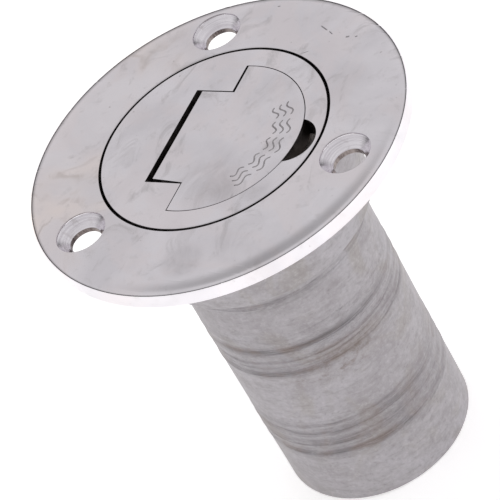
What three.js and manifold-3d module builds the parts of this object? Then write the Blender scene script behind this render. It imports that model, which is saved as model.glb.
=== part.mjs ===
// Keyless deck fill cap for a 38 mm hose: a cast stainless fill body with a screw-in cap whose
// flip lever folds up to turn it. Millimetres, +Z out of the deck.
// The origin is the centre of the deck plane, where the flange's foot meets the deck. The lever's
// hinge line runs along Y, and the finger notch is on the +X side.
import * as THREE from 'three';
import { mergeVertices } from 'three/addons/utils/BufferGeometryUtils.js';
import Module from 'manifold-3d';

const wasm = await Module();
wasm.setup();

// ---- driving dimensions -------------------------------------------------------------------
const SEGMENTS = 56;              // sides of a full turn
const CLEARANCE = 0.3;            // between pieces that touch in the real object

const FLANGE_RADIUS = 37;
const TOP_Z = 4;                  // flat top face of the flange and cap
const RIM_EDGE_Z = 2.4;           // where the rounded top of the rim meets its upright side
const RIM_ROUND = 3.6;            // how far in the rounding reaches
const FOOT_WIDTH = 2;             // the ring that touches the deck outside the sealant recess
const SEALANT_DEPTH = 0.75;

const SCREW_CIRCLE_RADIUS = 29.3;
const SCREW_ANGLES = [-4.9, 115.1, 235.1];
const SCREW_HOLE_RADIUS = 3;
const SINK_RADIUS = 4.8;
const SINK_LIP = 0.35;            // upright lip above the countersink's cone

const TUBE_RADIUS = 19.1;
const TUBE_BORE_RADIUS = 16.8;
const TUBE_END_Z = -78;
const NECK_END_RADIUS = 22.2;
const NECK_TOP_RADIUS = 24.4;
const NECK_END_Z = -18;
const BEAD_HEIGHT = 0.22;
const BEAD_WIDTH = 1.1;
const BEAD_PITCH = 2.9;
const BEAD_GROUPS = [{ top: -32.6, count: 3 }, { top: -56.6, count: 3 }];

const CAP_RADIUS = 22.15;
const CAP_BORE_RADIUS = 22.65;
const CAP_BOTTOM_Z = -2;          // underside of the cap's head
const BOSS_RADIUS = 17.2;
const BOSS_END_Z = -14.5;
const BOSS_HOLLOW_RADIUS = 14;
const BOSS_HOLLOW_TOP_Z = -5;

const THREAD_PITCH = 3;
const THREAD_HEIGHT = 0.9;
const THREAD_ROOT_WIDTH = 1.5;
const THREAD_CREST_WIDTH = 0.7;
const THREAD_TURNS = 2.4;
const THREAD_START_Z = -13;       // middle of the cap's thread at its lower end
const THREAD_BORE_RADIUS = BOSS_RADIUS + THREAD_HEIGHT + CLEARANCE;

const O_RING_SECTION = 1.1;       // radius of the O-ring's cord
const LEVER_THICKNESS = 3.4;
const LEVER_ARC_RADIUS = 17.75;
const LEVER_SHOULDER_X = -1.0;
const LEVER_END_X = -7.9;
const TONGUE_HALF_WIDTH = 11.1;
const TONGUE_END_SKEW = 0.5;      // the tongue narrows towards its end on the -Y side
const RECESS_END_X = -9.16;
const PIN_X = -6.2;               // close to the tongue's end, so the shoulders swing clear
const PIN_Z = 2.4;
const PIN_RADIUS = 0.9;
const PIN_HOLE_RADIUS = 1.05;
const PIN_LENGTH = 32;
const TONGUE_POCKET_X = -4.3;     // the deep pocket under the tongue reaches this far
const NOTCH_RADIUS = 5.15;
const NOTCH_X = 16.35;
const NOTCH_DEPTH = 4.7;
const EYE_X = 4;
const EYE_RING_RADIUS = 2.6;
const EYE_WIRE_RADIUS = 0.9;

const LEVER_BOTTOM_Z = TOP_Z - LEVER_THICKNESS;
const RECESS_FLOOR_Z = LEVER_BOTTOM_Z - CLEARANCE;
const TONGUE_SWING = Math.hypot(PIN_X - LEVER_END_X, PIN_Z - LEVER_BOTTOM_Z);

// ---- helpers ------------------------------------------------------------------------------
function toSolid(geometry) {
  const bare = geometry.index ? geometry.toNonIndexed() : geometry.clone();
  bare.deleteAttribute('normal');
  bare.deleteAttribute('uv');
  const merged = mergeVertices(bare, 1e-4);
  return new wasm.Manifold(new wasm.Mesh({
    numProp: 3,
    vertProperties: new Float32Array(merged.attributes.position.array),
    triVerts: new Uint32Array(merged.index.array),
  }));
}

function toGeometry(solid) {
  const mesh = solid.getMesh();
  const geometry = new THREE.BufferGeometry();
  geometry.setAttribute('position', new THREE.BufferAttribute(new Float32Array(mesh.vertProperties), 3));
  geometry.setIndex(new THREE.BufferAttribute(new Uint32Array(mesh.triVerts), 1));
  return geometry;
}

// A solid of revolution about Z from [radius, z] points, listed with the material on the left.
function turned(points, segments = SEGMENTS) {
  const profile = points.map(([radius, z]) => new THREE.Vector2(radius, z));
  const onAxis = points[0][0] === 0;
  if (!onAxis) profile.push(profile[0].clone());
  const geometry = new THREE.LatheGeometry(profile, segments);
  geometry.rotateX(Math.PI / 2);
  return toSolid(geometry);
}

// An upright cylinder between two heights, with a cone if the two radii differ.
function upright(radiusLow, radiusHigh, zLow, zHigh, x = 0, y = 0, segments = 24) {
  const geometry = new THREE.CylinderGeometry(radiusHigh, radiusLow, zHigh - zLow, segments);
  geometry.rotateX(Math.PI / 2);
  geometry.translate(x, y, (zLow + zHigh) / 2);
  return toSolid(geometry);
}

function block(xLow, xHigh, yLow, yHigh, zLow, zHigh) {
  const geometry = new THREE.BoxGeometry(xHigh - xLow, yHigh - yLow, zHigh - zLow);
  geometry.translate((xLow + xHigh) / 2, (yLow + yHigh) / 2, (zLow + zHigh) / 2);
  return toSolid(geometry);
}

function extruded(shape, zLow, zHigh, curveSegments = 40) {
  const geometry = new THREE.ExtrudeGeometry(shape, {
    depth: zHigh - zLow,
    bevelEnabled: false,
    curveSegments,
  });
  geometry.translate(0, 0, zLow);
  return toSolid(geometry);
}

// A right-hand helical ridge. It stands out from wallRadius by THREAD_HEIGHT, outwards when side
// is 1 and inwards when side is -1, and its foot is sunk a little into the wall.
function helicalRidge(wallRadius, side, zStart, turns) {
  const steps = Math.round(turns * 36);
  const sunk = 0.25;
  const section = [
    [wallRadius - side * sunk, -THREAD_ROOT_WIDTH / 2],
    [wallRadius, -THREAD_ROOT_WIDTH / 2],
    [wallRadius + side * THREAD_HEIGHT, -THREAD_CREST_WIDTH / 2],
    [wallRadius + side * THREAD_HEIGHT, THREAD_CREST_WIDTH / 2],
    [wallRadius, THREAD_ROOT_WIDTH / 2],
    [wallRadius - side * sunk, THREAD_ROOT_WIDTH / 2],
  ];
  const count = section.length;
  const positions = [];
  for (let step = 0; step <= steps; step += 1) {
    const angle = (step / steps) * turns * 2 * Math.PI;
    const z = zStart + (THREAD_PITCH * angle) / (2 * Math.PI);
    for (const [radius, dz] of section) {
      positions.push(radius * Math.cos(angle), radius * Math.sin(angle), z + dz);
    }
  }
  const triangles = [];
  const triangle = (a, b, c) => (side > 0 ? triangles.push(a, b, c) : triangles.push(a, c, b));
  for (let step = 0; step < steps; step += 1) {
    for (let corner = 0; corner < count; corner += 1) {
      const here = step * count + corner;
      const next = step * count + ((corner + 1) % count);
      triangle(here, next + count, next);
      triangle(here, here + count, next + count);
    }
  }
  const last = steps * count;
  for (let corner = 1; corner < count - 1; corner += 1) {
    triangle(0, corner, corner + 1);
    triangle(last, last + corner + 1, last + corner);
  }
  const geometry = new THREE.BufferGeometry();
  geometry.setAttribute('position', new THREE.Float32BufferAttribute(positions, 3));
  geometry.setIndex(triangles);
  return toSolid(geometry);
}

const turnedPoint = (radius, degrees) => {
  const angle = THREE.MathUtils.degToRad(degrees);
  return [radius * Math.cos(angle), radius * Math.sin(angle)];
};

// ---- fill body: flange, neck, threaded bore and hose tail in one casting ---------------------
function beadPoints() {
  const points = [];
  for (const group of [...BEAD_GROUPS].reverse()) {
    for (let bead = group.count - 1; bead >= 0; bead -= 1) {
      const z = group.top - bead * BEAD_PITCH;
      points.push([TUBE_RADIUS, z - BEAD_WIDTH / 2]);
      points.push([TUBE_RADIUS + BEAD_HEIGHT, z]);
      points.push([TUBE_RADIUS, z + BEAD_WIDTH / 2]);
    }
  }
  return points;
}

function rimPoints() {
  const points = [];
  const steps = 6;
  for (let step = 0; step <= steps; step += 1) {
    const angle = (step / steps) * (Math.PI / 2);
    points.push([
      FLANGE_RADIUS - RIM_ROUND * (1 - Math.cos(angle)),
      RIM_EDGE_Z + (TOP_Z - RIM_EDGE_Z) * Math.sin(angle),
    ]);
  }
  return points;
}

function fillBody() {
  const seatZ = CAP_BOTTOM_Z - CLEARANCE;
  const pocketZ = seatZ - 2 * O_RING_SECTION - CLEARANCE;
  const pocketRadius = BOSS_RADIUS + 2 * CLEARANCE + 2 * O_RING_SECTION + CLEARANCE;
  const threadEndZ = -16;
  const casting = turned([
    [TUBE_BORE_RADIUS, TUBE_END_Z],
    [TUBE_RADIUS - 0.4, TUBE_END_Z],
    [TUBE_RADIUS, TUBE_END_Z + 0.4],
    ...beadPoints(),
    [TUBE_RADIUS, NECK_END_Z - 1.6],
    [NECK_END_RADIUS - 1, NECK_END_Z - 0.6],
    [NECK_END_RADIUS, NECK_END_Z],
    [NECK_TOP_RADIUS, -1.2],
    [NECK_TOP_RADIUS + 0.5, 0],
    [NECK_TOP_RADIUS + 1.6, SEALANT_DEPTH],
    [FLANGE_RADIUS - FOOT_WIDTH - 0.6, SEALANT_DEPTH],
    [FLANGE_RADIUS - FOOT_WIDTH, 0],
    [FLANGE_RADIUS - 0.3, 0],
    [FLANGE_RADIUS, 0.3],
    ...rimPoints(),
    [CAP_BORE_RADIUS + 0.15, TOP_Z],
    [CAP_BORE_RADIUS, TOP_Z - 0.15],
    [CAP_BORE_RADIUS, seatZ],
    [pocketRadius, seatZ],
    [pocketRadius, pocketZ],
    [THREAD_BORE_RADIUS, pocketZ],
    [THREAD_BORE_RADIUS, threadEndZ],
    [TUBE_BORE_RADIUS, threadEndZ - 1.6],
  ]);
  const ridgeStart = THREAD_START_Z - THREAD_PITCH / 2;
  let body = casting.add(helicalRidge(THREAD_BORE_RADIUS, -1, ridgeStart, THREAD_TURNS + 0.35));
  for (const degrees of SCREW_ANGLES) {
    const [x, y] = turnedPoint(SCREW_CIRCLE_RADIUS, degrees);
    const coneDepth = SINK_RADIUS - SCREW_HOLE_RADIUS;
    const coneTop = TOP_Z - SINK_LIP;
    body = body.subtract(upright(SCREW_HOLE_RADIUS, SCREW_HOLE_RADIUS, -1, TOP_Z + 1, x, y));
    body = body.subtract(upright(SCREW_HOLE_RADIUS, SINK_RADIUS, coneTop - coneDepth, coneTop, x, y));
    body = body.subtract(upright(SINK_RADIUS, SINK_RADIUS, coneTop - 0.01, TOP_Z + 1, x, y));
  }
  return toGeometry(body);
}

// ---- cap: head with the lever's recess and a hollow threaded boss ----------------------------
function recessShape() {
  const radius = LEVER_ARC_RADIUS + 0.2;
  const wallX = LEVER_SHOULDER_X - CLEARANCE;
  const arcAngle = Math.acos(wallX / radius);
  const halfWidth = TONGUE_HALF_WIDTH + CLEARANCE;
  const shape = new THREE.Shape();
  shape.moveTo(RECESS_END_X, -halfWidth);
  shape.lineTo(wallX, -halfWidth);
  shape.absarc(0, 0, radius, -arcAngle, arcAngle, false);
  shape.lineTo(wallX, halfWidth);
  shape.lineTo(RECESS_END_X, halfWidth);
  shape.closePath();
  return shape;
}

function cap() {
  const halfWidth = TONGUE_HALF_WIDTH + CLEARANCE;
  const blank = turned([
    [0, BOSS_HOLLOW_TOP_Z],
    [BOSS_HOLLOW_RADIUS - 0.8, BOSS_HOLLOW_TOP_Z],
    [BOSS_HOLLOW_RADIUS, BOSS_HOLLOW_TOP_Z - 0.8],
    [BOSS_HOLLOW_RADIUS, BOSS_END_Z],
    [BOSS_RADIUS - 0.6, BOSS_END_Z],
    [BOSS_RADIUS, BOSS_END_Z + 0.6],
    [BOSS_RADIUS, CAP_BOTTOM_Z],
    [CAP_RADIUS - 0.3, CAP_BOTTOM_Z],
    [CAP_RADIUS, CAP_BOTTOM_Z + 0.3],
    [CAP_RADIUS, TOP_Z - 0.15],
    [CAP_RADIUS - 0.15, TOP_Z],
    [0, TOP_Z],
  ]);
  const pocketZ = PIN_Z - TONGUE_SWING - CLEARANCE;
  const notchFloorZ = TOP_Z - NOTCH_DEPTH;
  const pinHole = new THREE.CylinderGeometry(PIN_HOLE_RADIUS, PIN_HOLE_RADIUS, 2 * CAP_RADIUS + 2, 20);
  pinHole.translate(PIN_X, 0, PIN_Z);
  const body = blank
    .add(helicalRidge(BOSS_RADIUS, 1, THREAD_START_Z, THREAD_TURNS))
    .subtract(extruded(recessShape(), RECESS_FLOOR_Z, TOP_Z + 1))
    .subtract(block(RECESS_END_X, TONGUE_POCKET_X, -halfWidth, halfWidth, pocketZ, TOP_Z))
    .subtract(upright(NOTCH_RADIUS - 1.2, NOTCH_RADIUS, notchFloorZ, notchFloorZ + 1.2, NOTCH_X, 0, 40))
    .subtract(upright(NOTCH_RADIUS, NOTCH_RADIUS, notchFloorZ + 1.19, TOP_Z + 1, NOTCH_X, 0, 40))
    .subtract(toSolid(pinHole))
    .subtract(upright(1.7, 1.7, BOSS_HOLLOW_TOP_Z - 1, BOSS_HOLLOW_TOP_Z + 2.8, EYE_X, 0, 16));
  return toGeometry(body);
}

// ---- flip lever: a D-shaped plate with a hinged tongue --------------------------------------
function leverShape() {
  const arcAngle = Math.acos(LEVER_SHOULDER_X / LEVER_ARC_RADIUS);
  const shape = new THREE.Shape();
  shape.moveTo(LEVER_END_X, -TONGUE_HALF_WIDTH + TONGUE_END_SKEW);
  shape.lineTo(LEVER_SHOULDER_X, -TONGUE_HALF_WIDTH);
  shape.absarc(0, 0, LEVER_ARC_RADIUS, -arcAngle, arcAngle, false);
  shape.lineTo(LEVER_SHOULDER_X, TONGUE_HALF_WIDTH);
  shape.lineTo(LEVER_END_X, TONGUE_HALF_WIDTH);
  shape.closePath();
  return shape;
}

function flipLever() {
  const plate = extruded(leverShape(), LEVER_BOTTOM_Z, TOP_Z);
  const pinHole = new THREE.CylinderGeometry(PIN_HOLE_RADIUS, PIN_HOLE_RADIUS, 2 * CAP_RADIUS, 20);
  pinHole.translate(PIN_X, 0, PIN_Z);
  return toGeometry(plate.subtract(toSolid(pinHole)));
}

// ---- small pieces ---------------------------------------------------------------------------
function leverPin() {
  const geometry = new THREE.CylinderGeometry(PIN_RADIUS, PIN_RADIUS, PIN_LENGTH, 20);
  geometry.translate(PIN_X, 0, PIN_Z);
  return geometry;
}

function capORing() {
  const ringRadius = BOSS_RADIUS + CLEARANCE + O_RING_SECTION;
  const geometry = new THREE.TorusGeometry(ringRadius, O_RING_SECTION, 8, 40);
  geometry.translate(0, 0, CAP_BOTTOM_Z - CLEARANCE + 0.05 - O_RING_SECTION);
  return geometry;
}

function chainEye() {
  const ringZ = BOSS_HOLLOW_TOP_Z - 0.8 - EYE_RING_RADIUS;
  const ring = new THREE.TorusGeometry(EYE_RING_RADIUS, EYE_WIRE_RADIUS, 8, 24);
  ring.rotateX(Math.PI / 2);
  ring.translate(EYE_X, 0, ringZ);
  const shankFoot = ringZ + EYE_RING_RADIUS;
  const shank = upright(1.3, 1.3, shankFoot, BOSS_HOLLOW_TOP_Z + 2.4, EYE_X, 0, 16);
  return toGeometry(toSolid(ring).add(shank));
}

// ---- assembly -------------------------------------------------------------------------------
function piece(name, geometry, color, roughness, metalness) {
  geometry.computeVertexNormals();
  const material = new THREE.MeshStandardMaterial({ color, roughness, metalness });
  const mesh = new THREE.Mesh(geometry, material);
  mesh.name = name;
  return mesh;
}

const deckFill = new THREE.Group();
deckFill.add(piece('fill_body', fillBody(), 0xb9b7b8, 0.35, 1));
deckFill.add(piece('cap', cap(), 0xc6c3c5, 0.18, 1));
deckFill.add(piece('flip_lever', flipLever(), 0xcac8ca, 0.16, 1));
deckFill.add(piece('lever_pin', leverPin(), 0xa9a9ac, 0.3, 1));
deckFill.add(piece('cap_o_ring', capORing(), 0x1b1b1c, 0.7, 0));
deckFill.add(piece('chain_eye', chainEye(), 0xa9a9ac, 0.3, 1));

export default deckFill;
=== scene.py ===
"""Looks of a keyless deck fill cap: mirror-polished flange, cap and flip lever on a matt cast
hose tail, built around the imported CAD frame. Lengths are in millimetres until a mesh is made."""
import math

import bmesh
import bpy
from mathutils import Matrix, Vector, geometry, noise

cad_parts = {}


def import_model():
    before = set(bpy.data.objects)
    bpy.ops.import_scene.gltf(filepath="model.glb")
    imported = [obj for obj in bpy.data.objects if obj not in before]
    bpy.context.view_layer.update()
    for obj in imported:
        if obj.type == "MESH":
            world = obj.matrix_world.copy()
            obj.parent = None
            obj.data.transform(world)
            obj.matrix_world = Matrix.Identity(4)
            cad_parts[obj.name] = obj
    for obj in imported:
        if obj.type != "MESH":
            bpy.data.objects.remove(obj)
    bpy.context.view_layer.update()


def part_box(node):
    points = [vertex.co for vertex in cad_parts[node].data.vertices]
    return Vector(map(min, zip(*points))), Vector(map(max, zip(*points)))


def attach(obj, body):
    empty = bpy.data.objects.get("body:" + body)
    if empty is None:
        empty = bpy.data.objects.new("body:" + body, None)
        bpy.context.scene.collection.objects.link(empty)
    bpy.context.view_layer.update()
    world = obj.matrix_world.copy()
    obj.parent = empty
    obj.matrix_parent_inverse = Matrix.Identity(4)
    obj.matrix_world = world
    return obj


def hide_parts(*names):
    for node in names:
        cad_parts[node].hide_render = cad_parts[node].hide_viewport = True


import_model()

MM = 0.001
TAU = 2 * math.pi

# ---- sizes from the frame -----------------------------------------------------------------
body_low, body_high = (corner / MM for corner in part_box("fill_body"))
cap_low, cap_high = (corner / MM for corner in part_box("cap"))
pin_low, pin_high = (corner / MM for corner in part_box("lever_pin"))
ring_low, ring_high = (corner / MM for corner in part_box("cap_o_ring"))
eye_low, eye_high = (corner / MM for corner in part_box("chain_eye"))
lever_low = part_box("flip_lever")[0] / MM

TOP_Z = body_high.z
TAIL_END_Z = body_low.z
FLANGE_RADIUS = body_high.x
CAP_RADIUS = cap_high.x
BOSS_END_Z = cap_low.z
PIN_X = (pin_low.x + pin_high.x) / 2
PIN_Z = (pin_low.z + pin_high.z) / 2
PIN_RADIUS = (pin_high.z - pin_low.z) / 2

# ---- body ---------------------------------------------------------------------------------
RIM_EDGE_Z = 2.2                   # where the rim's rounding meets its upright side
RIM_ROUND = 4.3                    # how far in from the rim the rounding starts
RIM_POWER = 2.7                    # 2 would be an ellipse; a higher power turns over later
FOOT_WIDTH = 2.0
SEALANT_DEPTH = 0.75
SCREW_CIRCLE_RADIUS = 29.3
SCREW_ANGLES = (-4.9, 115.1, 235.1)
SCREW_HOLE_RADIUS = 3.0
SINK_RADIUS = 4.8
SINK_LIP = 0.35
TAIL_RADIUS = 19.1
TAIL_BORE_RADIUS = 16.8
NECK_END_RADIUS = 22.2
NECK_TOP_RADIUS = 24.4
NECK_END_Z = -18.0
CAP_BORE_RADIUS = 22.65
# the tail's low ridges: height, how far each stands out, and half its width
RIDGES = (
    (-20.4, 0.09, 0.5),
    (-22.2, 0.07, 0.5),
    (-31.6, 0.05, 1.0),
    (-35.0, 0.16, 1.0),
    (-37.5, 0.09, 0.7),
    (-40.8, 0.15, 0.9),
    (-55.9, 0.07, 0.9),
    (-58.6, 0.14, 1.0),
    (-61.5, 0.11, 0.9),
    (-64.4, 0.16, 0.9),
)
RIDGE_BANDS = ((-19.8, -23.0), (-29.5, -43.0), (-53.5, -67.0))
SHADE_AND_GRIME_SIDE = -65                    # azimuth where the painted shade and grime at the ridges are heaviest
RUST_Z = -41.6                     # a rusty patch below the upper ridges
RUST_SIDE = -47                    # azimuth of its middle
WARM_SIDE = 185                    # azimuth of the flange's brownish stains
# how dark the tail is painted at each height, from the neck's foot down: painted shade beside the ridges,
# mixed with grime
RIDGE_SHADE_AND_GRIME = (
    (-18.3, 0.0), (-19.3, 0.9), (-20.0, 0.0), (-20.7, 0.0), (-21.1, 0.75), (-21.9, 0.05),
    (-32.4, 0.05), (-33.1, 0.4), (-33.9, 1.0), (-34.6, 0.2), (-36.2, 0.15), (-36.9, 0.8),
    (-37.5, 0.15), (-38.2, 0.8), (-39.0, 0.3), (-39.9, 1.0), (-40.7, 0.35), (-41.8, 0.0),
    (-54.4, 0.0), (-55.4, 0.5), (-56.2, 0.1), (-57.6, 0.75), (-58.6, 0.15), (-60.6, 0.7),
    (-61.6, 0.2), (-62.6, 0.5), (-63.5, 1.0), (-64.4, 0.25), (-65.8, 0.0),
)

# ---- cap ----------------------------------------------------------------------------------
CAP_BOTTOM_Z = -2.0
BOSS_RADIUS = 17.2
BOSS_HOLLOW_RADIUS = 14.0
BOSS_HOLLOW_TOP_Z = -5.0
THREAD_PITCH = 3.0
THREAD_HEIGHT = 0.9
THREAD_ROOT_WIDTH = 1.5
THREAD_CREST_WIDTH = 0.7
THREAD_TURNS = 2.4
THREAD_START_Z = -13.0
THREAD_BORE_RADIUS = 18.4
RECESS_RADIUS = 17.95
RECESS_WALL_X = -1.3
RECESS_END_X = -9.16
RECESS_HALF_WIDTH = 11.4
RECESS_FLOOR_Z = 0.3
POCKET_X = -4.3
POCKET_Z = -0.35
NOTCH_X = 16.35
NOTCH_RADIUS = 5.15
NOTCH_FLOOR_Z = -0.7
PIN_HOLE_RADIUS = 1.05
EYE_X = (eye_low.x + eye_high.x) / 2

# ---- lever --------------------------------------------------------------------------------
LEVER_RADIUS = 17.83
LEVER_BOTTOM_Z = lever_low.z
LEVER_END_X = lever_low.x
WAVE_WIDTH = 0.32
WAVE_DEPTH = 0.12

ROUND = 192                        # points around the large turned surfaces
HOLE_ROUND = 96                    # points around a screw hole
PIN_HOLE_ROUND = 48                # points around the hinge pin's hole


# ---- mesh helpers -------------------------------------------------------------------------
class Skin:
    """Collects points in millimetres and faces, then welds them into one closed mesh."""

    def __init__(self):
        self.points = []
        self.faces = []
        self.slots = []

    def loop(self, points):
        first = len(self.points)
        self.points.extend(points)
        return list(range(first, len(self.points)))

    def face(self, corners, slot):
        self.faces.append(tuple(corners))
        self.slots.append(slot)

    def bridge(self, lower, upper, slot, closed=True):
        count = len(lower)
        for i in range(count if closed else count - 1):
            j = (i + 1) % count
            self.face((lower[i], lower[j], upper[j], upper[i]), slot)

    def stack(self, loops, slot, closed=True):
        indexed = [self.loop(points) for points in loops]
        for lower, upper in zip(indexed, indexed[1:]):
            self.bridge(lower, upper, slot, closed)

    def fill(self, loops, height, slot, extra=()):
        """Fills the region inside an odd number of the closed loops, at height(x, y)."""
        flat = [Vector((p[0], p[1])) for loop in loops for p in loop]
        edges = []
        first = 0
        for loop in loops:
            count = len(loop)
            edges.extend((first + i, first + (i + 1) % count) for i in range(count))
            first += count
        flat.extend(Vector((p[0], p[1])) for p in extra)
        points, _, triangles, *_ = geometry.delaunay_2d_cdt(flat, edges, [], 0, 1e-6)
        index = self.loop([(p.x, p.y, height(p.x, p.y)) for p in points])
        for triangle in triangles:
            middle = sum((points[i] for i in triangle), Vector((0, 0))) / 3
            if sum(crossings(loop, middle) for loop in loops) % 2:
                self.face([index[i] for i in triangle], slot)

    def make(self, name, materials, sharp_degrees=28):
        """Welds the points, turns the faces outwards and adds the object to the scene."""
        mesh = bpy.data.meshes.new(name)
        mesh.from_pydata([Vector(p) * MM for p in self.points], [], self.faces)
        for polygon, slot in zip(mesh.polygons, self.slots):
            polygon.material_index = slot
        work = bmesh.new()
        work.from_mesh(mesh)
        bmesh.ops.remove_doubles(work, verts=work.verts, dist=2e-6)
        bmesh.ops.dissolve_degenerate(work, edges=work.edges, dist=1e-7)
        bmesh.ops.recalc_face_normals(work, faces=work.faces)
        open_edges = sum(1 for edge in work.edges if len(edge.link_faces) != 2)
        work.to_mesh(mesh)
        work.free()
        print(f"{name}: {len(mesh.vertices)} points, {open_edges} open edges")
        for material in materials:
            mesh.materials.append(material)
        shade(mesh, sharp_degrees)
        piece = bpy.data.objects.new(name, mesh)
        bpy.context.scene.collection.objects.link(piece)
        return piece


def keep_flats_flat(piece):
    """Lets the large faces set the normals, so a rounded edge doesn't shade the flat beside it."""
    weighted = piece.modifiers.new("weighted", "WEIGHTED_NORMAL")
    weighted.mode = "FACE_AREA"
    weighted.weight = 90
    weighted.keep_sharp = True


def crossings(loop, point):
    """How many of the loop's edges a ray from the point towards +X crosses."""
    count = 0
    x, y = point
    for i, a in enumerate(loop):
        b = loop[i - 1]
        if (a[1] > y) != (b[1] > y):
            if x < (b[0] - a[0]) * (y - a[1]) / (b[1] - a[1]) + a[0]:
                count += 1
    return count


def shade(mesh, sharp_degrees):
    mesh.shade_smooth()
    mesh.set_sharp_from_angle(angle=math.radians(sharp_degrees))


def circle(radius, z, count=ROUND, x=0.0, y=0.0):
    """A level ring; radius may be a number or a function of angle and height."""
    points = []
    for i in range(count):
        angle = TAU * i / count
        r = radius(angle, z) if callable(radius) else radius
        points.append((x + r * math.cos(angle), y + r * math.sin(angle), z))
    return points


def pin_ring(radius, y, count):
    """A ring around the hinge pin's axis."""
    points = []
    for i in range(count):
        angle = TAU * i / count
        points.append((PIN_X + radius * math.cos(angle), y, PIN_Z + radius * math.sin(angle)))
    return points


def arc(r, z, radial, axial, start, end, steps):
    """Points (radius, z) on an ellipse's arc around (r, z), angles in degrees."""
    points = []
    for i in range(steps + 1):
        angle = math.radians(start + (end - start) * i / steps)
        points.append((r + radial * math.cos(angle), z + axial * math.sin(angle)))
    return points


def arc_points(x, radius, start, end, steps):
    """Plan-view points on a circle centred on the X axis, angles in radians."""
    points = []
    for i in range(steps + 1):
        angle = start + (end - start) * i / steps
        points.append((x + radius * math.cos(angle), radius * math.sin(angle)))
    return points


def rows(start, end, step):
    count = max(1, round(abs(end - start) / step))
    return [start + (end - start) * i / count for i in range(count + 1)]


def lift(points, z):
    return [(p[0], p[1], z) for p in points]


def smooth(value):
    value = min(1.0, max(0.0, value))
    return value * value * (3 - 2 * value)


def drill(piece, reach):
    """Cuts the hinge pin's hole through a piece, as far as a distance either side of its middle."""
    skin = Skin()
    rings = []
    for y in (-reach, reach):
        rings.append(pin_ring(PIN_HOLE_RADIUS, y, PIN_HOLE_ROUND))
    skin.stack(rings, 0)
    for ring in rings:
        skin.face(skin.loop(ring), 0)
    cutter = skin.make("cutter", [piece.data.materials[len(piece.data.materials) - 1]])
    cut = piece.modifiers.new("hole", "BOOLEAN")
    cut.operation = "DIFFERENCE"
    cut.solver = "EXACT"
    cut.object = cutter
    cut.material_mode = "TRANSFER"
    depsgraph = bpy.context.evaluated_depsgraph_get()
    mesh = bpy.data.meshes.new_from_object(piece.evaluated_get(depsgraph))
    piece.modifiers.clear()
    piece.data = mesh
    bpy.data.objects.remove(cutter)
    shade(mesh, 28)


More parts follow.
